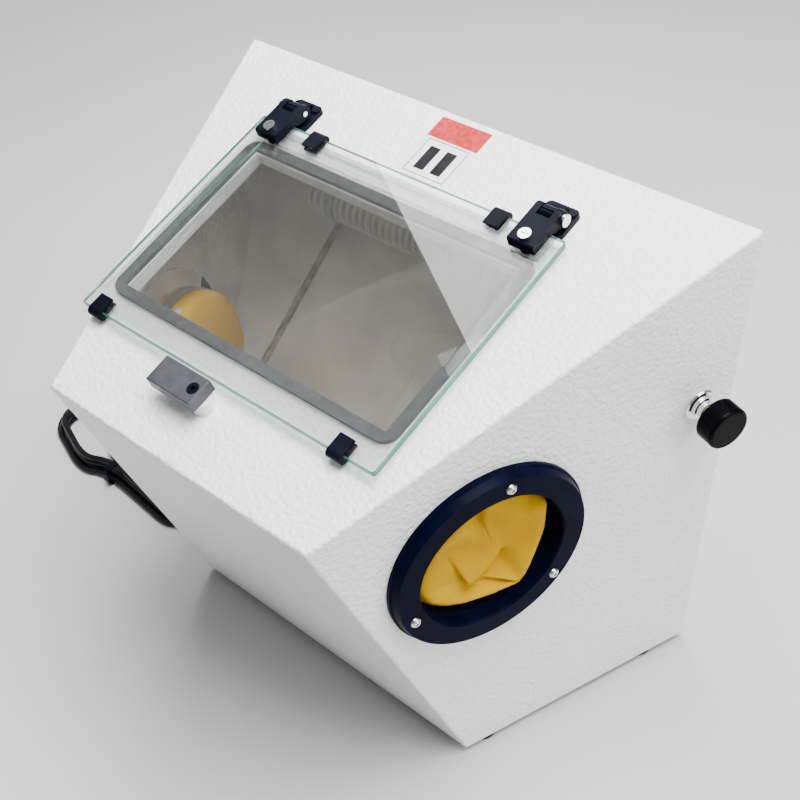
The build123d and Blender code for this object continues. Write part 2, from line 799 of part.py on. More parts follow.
# Mains lead: gland, free run, hank with its tie, and the plug.
relief_length = 30.0
with BuildPart() as cable_gland:
    turned(
        gland_plane,
        [
            (0, -10), (gland_hole - 0.1, -10), (gland_hole - 0.1, 0.05), (10, 0.05),
            (10, 7), (6.5, 9), (4.4, relief_length), (0, relief_length),
        ],
    )
save(cable_gland, "cable_gland")

lead_start = gland_plane.from_local_coords((0, 0, relief_length))
lead_out = gland_plane.from_local_coords((0, 0, relief_length + 34))
lead_route = [
    lead_start,
    lead_out,
    place(-296, 236, cord_low),
    place(-340, 222, cord_low),
    place(-368, 184, cord_low),
]
plug_route = [
    place(-210, 167, cord_low),
    place(-226, 186, cord_low),
    place(-256, 199, cord_low + 3.9),
]


def corner_radii(points):
    """The tangent arcs of a cord's route, one for each of its corners."""
    radii = []
    for before, corner, after in zip(points, points[1:], points[2:]):
        first = corner - before
        second = after - corner
        half_turn = radians(first.get_angle(second) / 2)
        radii.append(0.45 * min(first.length, second.length) / tan(half_turn))
    return radii


def cord_tube(points):
    """A cord of round section along its route."""
    with BuildPart() as tube:
        with BuildLine() as path:
            FilletPolyline(*points, radius=corner_radii(points))
        with BuildSketch(Plane(origin=path.line @ 0, z_dir=path.line % 0)) as section:
            Circle(cord_radius)
        sweep(section.sketch, path=path.line)
    return tube


power_cord = cord_tube(lead_route)
save(power_cord, "power_cord")
plug_lead = cord_tube(plug_route)
save(plug_lead, "plug_lead")
print("lead radii", [round(r, 1) for r in corner_radii(lead_route)])
print("plug lead radii", [round(r, 1) for r in corner_radii(plug_route)])

hank_height = 20.0
waist_radius = 12.0
hank_waist = (-306.0, 134.0)
hank_left = [((-388.0, 160.0), 30.0), ((-342.0, 146.0), 33.0)]
hank_right = [((-227.0, 147.0), 28.0)]
tie_width = 7.0
tie_outer = 27.0
tie_inner = 25.0
tie_plane = Plane(
    origin=place(hank_waist[0] - tie_width / 2, hank_waist[1], floor + hank_height / 2),
    x_dir=(0, 1, 0),
    z_dir=(1, 0, 0),
)
with BuildPart() as cord_tie:
    block(tie_plane, tie_outer, hank_height, tie_width, corner=7)
    block(tie_plane, tie_inner, hank_height - 2, tie_width, corner=6, mode=Mode.SUBTRACT)
save(cord_tie, "cord_tie")

hank_floor = Plane(origin=place(0, 0, floor), x_dir=(1, 0, 0), z_dir=(0, 0, 1))
with BuildPart() as cord_hank:
    for lobe in (hank_left, hank_right):
        with BuildSketch(hank_floor) as outline:
            with Locations(hank_waist):
                Circle(waist_radius)
            for spot, radius in lobe:
                with Locations(spot):
                    Circle(radius)
            make_hull()
        extrude(outline.sketch, amount=hank_height)
    fillet(cord_hank.faces().sort_by(Axis.Z)[-1].edges(), radius=5)
    block(tie_plane, 60, 60, tie_width, mode=Mode.SUBTRACT)
    block(tie_plane, tie_inner, hank_height - 2, tie_width, corner=6)
save(cord_hank, "cord_hank")

plug_way = (plug_route[2] - plug_route[1]).normalized()
plug_way = Vector(plug_way.X, plug_way.Y, 0).normalized()
plug_plane = Plane(
    origin=plug_route[2], x_dir=Vector(-plug_way.Y, plug_way.X, 0), z_dir=plug_way
)
plug_size = (35.0, 13.6)
plug_length = 34.0
plug_straight = 12.0
sleeve = (4.6, 12.0)
pin_spread = 9.3
plug_pin = (2.0, 19.0)
with BuildPart() as plug_body:
    disc(plug_plane, *sleeve)
    with BuildSketch(plug_plane.offset(8)) as shoulder:
        RectangleRounded(18, 11, 4)
    with BuildSketch(plug_plane.offset(plug_length - plug_straight)) as face:
        RectangleRounded(*plug_size, 6)
    loft([shoulder.sketch.face(), face.sketch.face()])
    extrude(face.sketch, amount=plug_straight)
save(plug_body, "plug_body")

with BuildPart() as plug_pins:
    for across in (-pin_spread, pin_spread):
        spot = plug_plane.from_local_coords((across, 0, plug_length))
        disc(Plane(origin=spot, x_dir=plug_plane.x_dir, z_dir=plug_way), *plug_pin)
save(plug_pins, "plug_pins")
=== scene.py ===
import math

import bmesh
import bpy
from mathutils import Matrix, Vector
from mathutils.geometry import delaunay_2d_cdt


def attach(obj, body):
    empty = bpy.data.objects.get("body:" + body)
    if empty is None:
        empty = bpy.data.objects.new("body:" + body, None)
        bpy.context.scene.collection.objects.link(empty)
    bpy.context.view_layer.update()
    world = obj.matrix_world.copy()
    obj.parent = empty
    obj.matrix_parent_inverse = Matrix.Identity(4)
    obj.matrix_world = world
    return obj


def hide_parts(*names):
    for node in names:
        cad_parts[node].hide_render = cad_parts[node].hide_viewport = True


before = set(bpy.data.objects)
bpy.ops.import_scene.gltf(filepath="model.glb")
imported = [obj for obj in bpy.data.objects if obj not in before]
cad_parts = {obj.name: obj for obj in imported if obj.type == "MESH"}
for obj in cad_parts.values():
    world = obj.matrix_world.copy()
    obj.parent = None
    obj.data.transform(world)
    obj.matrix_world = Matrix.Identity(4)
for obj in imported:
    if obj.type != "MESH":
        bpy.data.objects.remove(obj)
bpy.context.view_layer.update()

# Driving dimensions, in millimetres of the cabinet: x from its mid-plane, y
# from its nose, z from the underside of its base.
MM = 0.001
MID_X = -8.88
NOSE_Y = -175.375
FOOT = 6.0
DEPTH = 312.0
BACK_HEIGHT = 400.0
NOSE_HEIGHT = 295.0
BASE_FRONT = 111.0
HALF_BACK = 230.0
TAPER = 0.329
LEAN = 0.040
SHEET = 1.5
PORT_AT = (-203.0, -179.0)
PORT_BORE = 55.0
COLLAR_END = -29.5
GLASS_TOP = 9.5
CORD_RADIUS = 3.0
CORD_LOW = -3.0


def place(x, y, z):
    """A point of the cabinet, in the row frame."""
    return Vector((x + MID_X, y + NOSE_Y, z + FOOT)) * MM


def face(origin, x_dir, z_dir):
    """A frame on a face: its X, its Y and its outward Z, in millimetres."""
    z = Vector(z_dir).normalized()
    x = Vector(x_dir).normalized()
    turn = Matrix((x, z.cross(x), z)).transposed().to_4x4()
    return Matrix.Translation(origin) @ turn @ Matrix.Scale(MM, 4)


def moved(frame_on, x, y, z=0.0):
    """The same frame with its origin at a local point."""
    return frame_on @ Matrix.Translation((x, y, z))


SLOPE = math.atan2(BACK_HEIGHT - NOSE_HEIGHT, DEPTH)
TOP = face(place(0, 0, NOSE_HEIGHT), (1, 0, 0), (0, -math.sin(SLOPE), math.cos(SLOPE)))
RIGHT = face(place(HALF_BACK, DEPTH, BACK_HEIGHT), (TAPER, 1, 0), (1, -TAPER, -LEAN))
LEFT = face(place(-HALF_BACK, DEPTH, BACK_HEIGHT), (TAPER, -1, 0), (-1, -TAPER, -LEAN))
FRONT = face(place(0, 0, NOSE_HEIGHT), (1, 0, 0), (0, -NOSE_HEIGHT, -BASE_FRONT))
BACK = face(place(0, DEPTH, 0), (-1, 0, 0), (0, 1, 0))
BASE = face(place(0, 0, 0), (1, 0, 0), (0, 0, -1))
PORT_RIGHT = moved(RIGHT, *PORT_AT)
PORT_LEFT = moved(LEFT, -PORT_AT[0], PORT_AT[1])


# Camera: the photograph's view, with its principal point at the middle.
def make_camera():
    azimuth, elevation, roll = (math.radians(a) for a in (44.2174, 40.7896, -3.8231))
    distance = 0.8468
    back = Vector((
        math.sin(azimuth) * math.cos(elevation),
        -math.cos(azimuth) * math.cos(elevation),
        math.sin(elevation),
    ))
    right = Vector((math.cos(azimuth), math.sin(azimuth), 0))
    up = back.cross(right)
    across = math.cos(roll) * right + math.sin(roll) * up
    upward = math.cos(roll) * up - math.sin(roll) * right
    data = bpy.data.cameras.new("camera")
    data.lens = 57.93
    data.sensor_width = 36.0
    data.clip_start = 0.01
    camera = bpy.data.objects.new("camera", data)
    bpy.context.scene.collection.objects.link(camera)
    turn = Matrix((across, upward, back)).transposed().to_4x4()
    looked_at = place(74.9, 138.0, 295.9)
    camera.matrix_world = Matrix.Translation(looked_at + back * distance) @ turn
    bpy.context.scene.camera = camera


make_camera()


# Mains lead: from the gland, round the hank, and out to the plug.
def gland_point(out):
    """A point on the axis of the gland, out from the left side panel."""
    y, z = 268.0, 42.0
    half = HALF_BACK - TAPER * (DEPTH - y) - LEAN * (BACK_HEIGHT - z)
    normal = Vector((-1, -TAPER, -LEAN)).normalized()
    return place(-half, y, z) + normal * out * MM


WAIST = (-306.0, 134.0)
LEFT_LOBE = (-388.0, 160.0)
LEFT_BULGE = (-342.0, 146.0)
RIGHT_LOBE = (-227.0, 147.0)
LAYER = 6.05
INNER, OUTER = 20.5, 27.0
RING, OUTER_RING = 19.0, 25.1
COLUMN = 6.3
WAIST_HALF = 13.0
TIE_LIFT = 1.0
LEAD_IN = (-340.0, 222.0)
CLIMB_ENDS = 127.0
LEAVES_AT = 405.0
PLUG_AT = (-256.0, 199.0)
PLUG_LIFT = 3.9
LEAD_DROOP = 64.0


def tangent_angle(centre, radius, spot, arriving):
    """Where a strand meets a lobe, in degrees, coming from a spot or leaving to it."""
    across, along = spot[0] - centre[0], spot[1] - centre[1]
    lean = math.degrees(math.asin(radius / math.hypot(across, along)))
    toward = math.degrees(math.atan2(along, across))
    return toward + 90 - lean if arriving else toward - 90 + lean


def wrap(centre, radius, start, stop, height_at, before=True, after=True):
    """Points counterclockwise round a lobe, and just off it at both ends."""
    while stop < start:
        stop += 360
    count = round((stop - start) / 23)
    turns = [start + (stop - start) * i / count for i in range(count + 1)]
    ends = [(turns[0], -12.0)] * before + [(turn, 0.0) for turn in turns]
    ends += [(turns[-1], 12.0)] * after
    points = []
    for turn, past in ends:
        angle = math.radians(turn)
        points.append(place(
            centre[0] + radius * math.cos(angle) - past * math.sin(angle),
            centre[1] + radius * math.sin(angle) + past * math.cos(angle),
            CORD_LOW + height_at(turn),
        ))
    return points


def hank_points():
    """Seven passes between the two lobes, three layers and an outer strand."""
    points = []
    left_up = (WAIST[0] - WAIST_HALF, WAIST[1] + COLUMN)
    right_up = (WAIST[0] + WAIST_HALF, WAIST[1] + COLUMN)
    for lap in range(4):
        last = lap == 3
        low = 0.0 if last else lap * LAYER
        came = max(0.0, (lap - 1) * LAYER)
        reach = OUTER if last else INNER
        column = WAIST[1] - COLUMN if last else WAIST[1]
        bulge = (LEFT_BULGE[0], LEFT_BULGE[1] - reach - 3.0)
        came_from = LEAD_IN if lap == 0 else left_up
        start = tangent_angle(LEFT_LOBE, reach, came_from, True) % 360
        stop = tangent_angle(LEFT_LOBE, reach, bulge, False) % 360
        reached = stop if last else CLIMB_ENDS

        def climb(turn):
            part = min(1.0, max(0.0, (turn - start) / max(1.0, reached - start)))
            return came + (low - came) * part

        points += wrap(LEFT_LOBE, reach, start, stop, climb)
        points.append(place(*bulge, CORD_LOW + low))
        points.append(place(WAIST[0] - WAIST_HALF, column, CORD_LOW + low + TIE_LIFT))
        points.append(place(WAIST[0] + WAIST_HALF, column, CORD_LOW + low + TIE_LIFT))
        ring = OUTER_RING if last else RING
        right_down = (WAIST[0] + WAIST_HALF, column)
        start = tangent_angle(RIGHT_LOBE, ring, right_down, True) % 360
        if last:
            points += wrap(RIGHT_LOBE, ring, start, LEAVES_AT, lambda turn: 0.0, after=False)
            break
        stop = tangent_angle(RIGHT_LOBE, ring, right_up, False) % 360
        points += wrap(RIGHT_LOBE, ring, start, stop, lambda turn: low)
        points.append(place(*right_up, CORD_LOW + low + TIE_LIFT))
        points.append(place(*left_up, CORD_LOW + low + TIE_LIFT))
    return points


def lead_points():
    points = [gland_point(30), gland_point(LEAD_DROOP), place(-296, 236, CORD_LOW)]
    points.append(place(*LEAD_IN, CORD_LOW))
    points += hank_points()
    points += [place(-228, 187, CORD_LOW), place(*PLUG_AT, CORD_LOW + PLUG_LIFT)]
    return points


def make_curve(name, points, radius):
    data = bpy.data.curves.new(name, "CURVE")
    data.dimensions = "3D"
    spline = data.splines.new("NURBS")
    spline.points.add(len(points) - 1)
    for spot, point in zip(spline.points, points):
        spot.co = (*point, 1)
        spot.radius = radius * MM
    spline.order_u = 3
    spline.use_endpoint_u = True
    spline.resolution_u = 6
    data.bevel_depth = 1.0
    data.bevel_resolution = 4
    data.use_fill_caps = True
    piece = bpy.data.objects.new(name, data)
    bpy.context.scene.collection.objects.link(piece)
    return piece


mains_lead = make_curve("mains_lead", lead_points(), CORD_RADIUS)
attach(mains_lead, "cabinet")
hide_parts("power_cord", "cord_hank", "plug_lead")


# Materials.
def new_material(name):
    material = bpy.data.materials.new(name)
    material.use_nodes = True
    nodes = material.node_tree.nodes
    return material, material.node_tree, nodes["Principled BSDF"]


def add_node(tree, kind, **inputs):
    node = tree.nodes.new(kind)
    for key, value in inputs.items():
        node.inputs[key.replace("_", " ")].default_value = value
    return node


def object_space(tree):
    return tree.nodes.new("ShaderNodeTexCoord").outputs["Object"]


def noise_of(tree, scale, detail=3.0, roughness=0.5):
    node = add_node(tree, "ShaderNodeTexNoise", Scale=scale, Detail=detail, Roughness=roughness)
    tree.links.new(object_space(tree), node.inputs["Vector"])
    return node.outputs["Fac"]


def ramp_of(tree, source, stops):
    node = tree.nodes.new("ShaderNodeValToRGB")
    elements = node.color_ramp.elements
    while len(elements) < len(stops):
        elements.new(0.5)
    for element, (at, colour) in zip(elements, stops):
        element.position = at
        element.color = (*colour, 1)
    tree.links.new(source, node.inputs["Fac"])
    return node.outputs["Color"]


def bump_from(tree, shader, source, strength, distance):
    node = add_node(tree, "ShaderNodeBump", Strength=strength, Distance=distance)
    tree.links.new(source, node.inputs["Height"])
    tree.links.new(node.outputs["Normal"], shader.inputs["Normal"])


def mottled(
    name, dark, light, scale, roughness, metallic=0.0, bump=0.0, bump_scale=None, specular=0.5
):
    """A finish whose colour drifts between two tones, with a fine bump."""
    material, tree, shader = new_material(name)
    tone = ramp_of(tree, noise_of(tree, scale), [(0.3, dark), (0.7, light)])
    tree.links.new(tone, shader.inputs["Base Color"])
    shader.inputs["Roughness"].default_value = roughness
    shader.inputs["Metallic"].default_value = metallic
    shader.inputs["Specular IOR Level"].default_value = specular
    if bump:
        bump_from(tree, shader, noise_of(tree, bump_scale or scale), bump, 0.0004)
    return material


def depth_below(tree, faces):
    """How far, in metres, a point is out of the nearest of some faces."""
    position = object_space(tree)
    found = None
    for on in faces:
        normal = on.to_3x3().col[2].normalized()
        dot = tree.nodes.new("ShaderNodeVectorMath")
        dot.operation = "DOT_PRODUCT"
        dot.inputs[1].default_value = normal
        tree.links.new(position, dot.inputs[0])
        out = tree.nodes.new("ShaderNodeMath")
        out.operation = "SUBTRACT"
        tree.links.new(dot.outputs["Value"], out.inputs[0])
        out.inputs[1].default_value = normal.dot(on.translation)
        if found is None:
            found = out.outputs[0]
            continue
        highest = tree.nodes.new("ShaderNodeMath")
        highest.operation = "MAXIMUM"
        tree.links.new(found, highest.inputs[0])
        tree.links.new(out.outputs[0], highest.inputs[1])
        found = highest.outputs[0]
    return found


def mix_colour(tree, factor, first, second):
    node = tree.nodes.new("ShaderNodeMix")
    node.data_type = "RGBA"
    tree.links.new(factor, node.inputs["Factor"])
    tree.links.new(first, node.inputs["A"])
    tree.links.new(second, node.inputs["B"])
    return node.outputs["Result"]


def powder_coat(name, dusty_inside):
    """White powder coat with an orange-peel skin, dusty on its inner side."""
    material, tree, shader = new_material(name)
    white = ramp_of(
        tree, noise_of(tree, 9.0, 4.0), [(0.3, (0.80, 0.80, 0.80)), (0.7, (0.85, 0.85, 0.845))]
    )
    if dusty_inside:
        dust = ramp_of(
            tree,
            noise_of(tree, 22.0, 6.0, 0.65),
            [(0.25, (0.40, 0.36, 0.30)), (0.5, (0.54, 0.50, 0.43)), (0.8, (0.66, 0.62, 0.55))],
        )
        inside = tree.nodes.new("ShaderNodeMath")
        inside.operation = "LESS_THAN"
        tree.links.new(
            depth_below(tree, (TOP, RIGHT, LEFT, FRONT, BACK, BASE)), inside.inputs[0]
        )
        inside.inputs[1].default_value = -0.5 * SHEET * MM
        white = mix_colour(tree, inside.outputs[0], white, dust)
    tree.links.new(white, shader.inputs["Base Color"])
    shader.inputs["Roughness"].default_value = 0.38
    shader.inputs["Coat Weight"].default_value = 0.25
    shader.inputs["Coat Roughness"].default_value = 0.22
    peel = noise_of(tree, 290.0, 2.0, 0.4)
    bump_from(tree, shader, peel, 0.9, 0.0016)
    return material


def collar_black():
    """Black paint on the glove collar, dusty outside it within the cabinet."""
    material, tree, shader = new_material("collar_black")
    black = ramp_of(
        tree, noise_of(tree, 70.0), [(0.3, (0.001, 0.002, 0.006)), (0.7, (0.002, 0.004, 0.012))]
    )
    dust = ramp_of(
        tree, noise_of(tree, 24.0, 5.0), [(0.3, (0.34, 0.30, 0.24)), (0.7, (0.52, 0.48, 0.41))]
    )
    nearest = None
    for on in (PORT_RIGHT, PORT_LEFT):
        away = tree.nodes.new("ShaderNodeVectorMath")
        away.operation = "SUBTRACT"
        away.inputs[1].default_value = on.translation
        tree.links.new(object_space(tree), away.inputs[0])
        across = tree.nodes.new("ShaderNodeVectorMath")
        across.operation = "CROSS_PRODUCT"
        across.inputs[1].default_value = on.to_3x3().col[2].normalized()
        tree.links.new(away.outputs["Vector"], across.inputs[0])
        radius = tree.nodes.new("ShaderNodeVectorMath")
        radius.operation = "LENGTH"
        tree.links.new(across.outputs["Vector"], radius.inputs[0])
        if nearest is None:
            nearest = radius.outputs["Value"]
            continue
        least = tree.nodes.new("ShaderNodeMath")
        least.operation = "MINIMUM"
        tree.links.new(nearest, least.inputs[0])
        tree.links.new(radius.outputs["Value"], least.inputs[1])
        nearest = least.outputs[0]
    outside = tree.nodes.new("ShaderNodeMath")
    outside.operation = "GREATER_THAN"
    tree.links.new(nearest, outside.inputs[0])
    outside.inputs[1].default_value = (PORT_BORE + 0.6) * MM
    tree.links.new(mix_colour(tree, outside.outputs[0], black, dust), shader.inputs["Base Color"])
    shader.inputs["Roughness"].default_value = 0.6
    shader.inputs["Specular IOR Level"].default_value = 0.04
    return material


def ringed_duct():
    """Grey hose with painted shade in its grooves, darker than its rings."""
    material, tree, shader = new_material("duct_grey")
    split = tree.nodes.new("ShaderNodeSeparateXYZ")
    tree.links.new(object_space(tree), split.inputs["Vector"])
    wave = tree.nodes.new("ShaderNodeMath")
    wave.operation = "MULTIPLY_ADD"
    tree.links.new(split.outputs["X"], wave.inputs[0])
    turns = 2 * math.pi / (DUCT_PITCH * MM)
    wave.inputs[1].default_value = turns
    wave.inputs[2].default_value = -place(DUCT_FROM, 0, 0).x * turns
    ring = tree.nodes.new("ShaderNodeMath")
    ring.operation = "COSINE"
    tree.links.new(wave.outputs[0], ring.inputs[0])
    # Painted shade: the colour darkens in the hose's grooves and lightens on its rings, then mixes
    # with dust.
    groove_shade = ramp_of(tree, ring.outputs[0], [(0.0, (0.26, 0.24, 0.20)), (0.8, (0.66, 0.62, 0.55))])
    dust = ramp_of(
        tree, noise_of(tree, 30.0), [(0.3, (0.40, 0.37, 0.32)), (0.7, (0.60, 0.56, 0.50))]
    )
    part = noise_of(tree, 45.0)
    tree.links.new(mix_colour(tree, part, groove_shade, dust), shader.inputs["Base Color"])
    shader.inputs["Roughness"].default_value = 0.6
    return material


def clear_glass():
    """Clear float glass: green at its ground edge, clear through its faces."""
    material, tree, shader = new_material("glass_clear")
    pane = TOP.to_3x3().col[2].normalized()
    facing = tree.nodes.new("ShaderNodeVectorMath")
    facing.operation = "DOT_PRODUCT"
    facing.inputs[1].default_value = pane
    tree.links.new(tree.nodes.new("ShaderNodeTexCoord").outputs["Normal"], facing.inputs[0])
    size = tree.nodes.new("ShaderNodeMath")
    size.operation = "ABSOLUTE"
    tree.links.new(facing.outputs["Value"], size.inputs[0])
    edge = ramp_of(
        tree, noise_of(tree, 30.0), [(0.3, (0.02, 0.26, 0.14)), (0.7, (0.07, 0.42, 0.26))]
    )
    clear = ramp_of(tree, size.outputs[0], [(0.85, (0.3, 0.6, 0.45)), (0.95, (0.985, 0.995, 0.99))])
    rim = tree.nodes.new("ShaderNodeMath")
    rim.operation = "LESS_THAN"
    rim.inputs[1].default_value = 0.9
    tree.links.new(size.outputs[0], rim.inputs[0])
    tree.links.new(mix_colour(tree, rim.outputs[0], clear, edge), shader.inputs["Base Color"])
    through = ramp_of(tree, size.outputs[0], [(0.85, (0.45, 0.45, 0.45)), (0.95, (1, 1, 1))])
    tree.links.new(through, shader.inputs["Transmission Weight"])
    shader.inputs["Roughness"].default_value = 0.0
    shader.inputs["IOR"].default_value = 1.47
    return material


def see_through(name, colour, alpha, roughness):
    material, tree, shader = new_material(name)
    dimmer = tuple(0.9 * c for c in colour)
    tone = ramp_of(tree, noise_of(tree, 40.0), [(0.3, colour), (0.7, dimmer)])
    tree.links.new(tone, shader.inputs["Base Color"])
    shader.inputs["Alpha"].default_value = alpha
    shader.inputs["Roughness"].default_value = roughness
    return material


WHITE = powder_coat("paint_white", False)
WHITE_DUSTY = powder_coat("paint_white_dusty", True)
CHUTE = mottled(
    "chute_dust", (0.42, 0.375, 0.315), (0.60, 0.55, 0.48), 18.0, 0.85,
    bump=0.5, bump_scale=260,
)
FOAM = mottled(
    "foam", (0.03, 0.033, 0.037), (0.085, 0.09, 0.095), 240.0, 0.9,
    bump=0.9, bump_scale=700,
)
SATIN = mottled(
    "satin_black", (0.0015, 0.002, 0.006), (0.004, 0.005, 0.011), 60.0, 0.38,
    bump=0.15, bump_scale=900, specular=0.05,
)
GLOSS = mottled(
    "gloss_black", (0.0006, 0.0006, 0.0010), (0.0016, 0.0016, 0.0024), 50.0, 0.12,
    specular=0.03,
)
LEAD = mottled(
    "lead_black", (0.004, 0.004, 0.005), (0.009, 0.009, 0.011), 80.0, 0.28,
    bump=0.1, bump_scale=500, specular=0.22,
)
RING = mottled(
    "ring_black", (0.0005, 0.001, 0.007), (0.0015, 0.0025, 0.013), 70.0, 0.34,
    bump=0.12, bump_scale=900, specular=0.02,
)
LATCH = mottled(
    "latch_grey", (0.030, 0.030, 0.040), (0.05, 0.05, 0.06), 120.0, 0.42,
    bump=0.3, bump_scale=1200,
)
NYLON = mottled("nylon", (0.72, 0.73, 0.70), (0.84, 0.85, 0.82), 60.0, 0.35)
STEEL = mottled(
    "steel", (0.50, 0.50, 0.50), (0.68, 0.67, 0.66), 200.0, 0.26,
    metallic=1.0, bump=0.1,
)
CHROME = mottled("chrome", (0.72, 0.72, 0.73), (0.82, 0.82, 0.83), 90.0, 0.12, metallic=1.0)
BRASS = mottled("brass", (0.50, 0.33, 0.13), (0.66, 0.47, 0.20), 90.0, 0.28, metallic=1.0, bump=0.1)
ALLOY = mottled(
    "alloy", (0.52, 0.53, 0.54), (0.64, 0.65, 0.66), 60.0, 0.38,
    metallic=1.0, bump=0.15,
)
CERAMIC = mottled("ceramic", (0.70, 0.66, 0.58), (0.80, 0.77, 0.70), 50.0, 0.55)
RUBBER_FOOT = mottled(
    "foot_rubber", (0.012, 0.012, 0.012), (0.025, 0.025, 0.025), 80.0, 0.75,
    bump=0.3, bump_scale=400,
)
YELLOW = mottled(
    "glove_yellow", (0.44, 0.235, 0.0), (0.56, 0.32, 0.0), 28.0, 0.6,
    bump=0.25, bump_scale=220, specular=0.05,
)
COLLAR = collar_black()
PAPER = mottled("label_paper", (0.74, 0.72, 0.72), (0.80, 0.79, 0.79), 60.0, 0.45)
LENS = mottled("lamp_lens", (0.78, 0.78, 0.76), (0.86, 0.86, 0.84), 60.0, 0.4)
GLASS = clear_glass()
FILM = see_through("film_clear", (0.86, 0.87, 0.84), 0.02, 0.15)

FINISHES = {
    WHITE: ("top_panel",),
    WHITE_DUSTY: (
        "side_panel_right", "side_panel_left", "front_panel", "back_panel", "base_panel",
    ),
    CHUTE: ("chute_plate",),
    FOAM: ("window_gasket",),
    GLASS: ("glass_pane",),
    FILM: ("protective_film",),
    SATIN: (
        "edge_clips", "hinge_base_left", "hinge_base_right", "hinge_leaf_left",
        "hinge_leaf_right", "clamp_pads", "gun_mount", "outlet_elbow", "outlet_flange",
        "cable_gland", "cord_tie", "hinge_base_screws", "latch_screw",
    ),
    CHROME: ("hinge_pins", "hinge_clamp_screws", "valve_flange", "plug_pins"),
    STEEL: (
        "back_screws", "foot_nuts", "ring_screws_left",
        "ring_screws_right", "cuff_clamp_left", "cuff_clamp_right", "duct_clips",
    ),
    LATCH: ("latch_block",),
    NYLON: ("latch_spacer",),
    RING: ("glove_ring_left", "glove_ring_right"),
    COLLAR: ("glove_collar_left", "glove_collar_right"),
    BRASS: ("valve_body", "valve_stem", "air_inlet", "air_pipe"),
    GLOSS: ("valve_knob", "plug_body"),
    ALLOY: ("gun_body", "lamp_housing"),
    CERAMIC: ("gun_nozzle",),
    LENS: ("lamp_lens",),
    PAPER: ("label_plate",),
    RUBBER_FOOT: ("feet",),
}


def paint(piece, material):
    slots = piece.material_slots
    if not slots:
        piece.data.materials.append(material)
        return
    for slot in slots:
        slot.material = material


for finish, nodes in FINISHES.items():
    for node in nodes:
        paint(bpy.data.objects[node], finish)
paint(mains_lead, LEAD)


# Meshes of the pieces that the CAD keeps plain.
def make_mesh(name, vertices, faces, material, body="cabinet", smooth=True):
    data = bpy.data.meshes.new(name)
    data.from_pydata([tuple(v) for v in vertices], [], faces)
    data.validate()
    if smooth:
        data.shade_smooth()
    data.materials.append(material)
    piece = bpy.data.objects.new(name, data)
    bpy.context.scene.collection.objects.link(piece)
    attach(piece, body)
    return piece


def grid_faces(rows, columns):
    """Quads between rows of points, each row closed into a ring."""
    faces = []
    for row in range(rows - 1):
        for column in range(columns):
            right = (column + 1) % columns
            faces.append((
                row * columns + column, row * columns + right,
                (row + 1) * columns + right, (row + 1) * columns + column,
            ))
    return faces


def lathe(name, on, profile, material, around):
    """A closed outline of (radius, height) points turned about a frame's Z."""
    vertices = []
    for radius, height in profile:
        for i in range(around):
            angle = 2 * math.pi * i / around
            spot = Vector((radius * math.cos(angle), radius * math.sin(angle), height))
            vertices.append(on @ spot)
    faces = grid_faces(len(profile), around)
    last = (len(profile) - 1) * around
    for i in range(around):
        j = (i + 1) % around
        faces.append((last + i, last + j, j, i))
    return make_mesh(name, vertices, faces, material)


# Gloves: a rubber skin crumpled in the port, and its sleeve inside.
GLOVE_WALL = 1.2
RIM = PORT_BORE - 0.6
# The folds' corners: across the port, up it, and out of the panel.
FOLDS = {
    "gather": (21, -17, -10), "crease_top": (3, 40, -2), "crease_low": (-14, -30, -8),
    "flap_mid": (-14, -23, 3), "flap_left": (-42, 10, -1), "flap_tip": (28, -43, 6),
    "edge_top": (45, 25, 4), "edge_mid": (44, -5, 4), "low_a": (10, -44, 4),
    "low_b": (-13, -42, 2), "low_c": (-30, -35, 1), "low_d": (-41, -26, 0),
    "low_e": (-46, -15, -1), "lobe_a": (2, 24, -4), "lobe_b": (0, 8, -5),
    "lobe_c": (-5, -1, -6), "lobe_d": (-28, 12, -5), "hollow_a": (15, -20, -20),
    "hollow_b": (1, -27, -19), "hollow_c": (-11, -31, -15), "lobe_mid": (-17, 34, 2),
    "lobe_low": (-33, 26, 1), "sheet_a": (30, 18, 0), "sheet_b": (28, -20, -3),
    "pocket_a": (20, -41, -9), "pocket_b": (6, -36, -8), "hollow_top": (-3, 34, -12),
}
FOLD_EDGES = (
    ("crease_top", "gather"), ("gather", "crease_low"), ("crease_low", "flap_mid"),
    ("hollow_top", "hollow_a"), ("hollow_a", "hollow_b"), ("hollow_b", "hollow_c"),
    ("hollow_c", "lobe_d"), ("lobe_a", "lobe_b"), ("lobe_b", "lobe_c"), ("lobe_c", "lobe_d"),
    ("flap_left", "flap_mid"), ("flap_mid", "flap_tip"), ("flap_tip", "edge_mid"),
    ("edge_mid", "edge_top"), ("low_e", "low_d"), ("low_d", "low_c"), ("low_c", "low_b"),
    ("low_b", "low_a"), ("low_a", "flap_tip"), ("gather", "sheet_a"), ("gather", "sheet_b"),
    ("sheet_b", "flap_tip"), ("pocket_a", "flap_tip"), ("pocket_a", "pocket_b"),
    ("crease_low", "pocket_b"), ("flap_left", "low_e"),
)


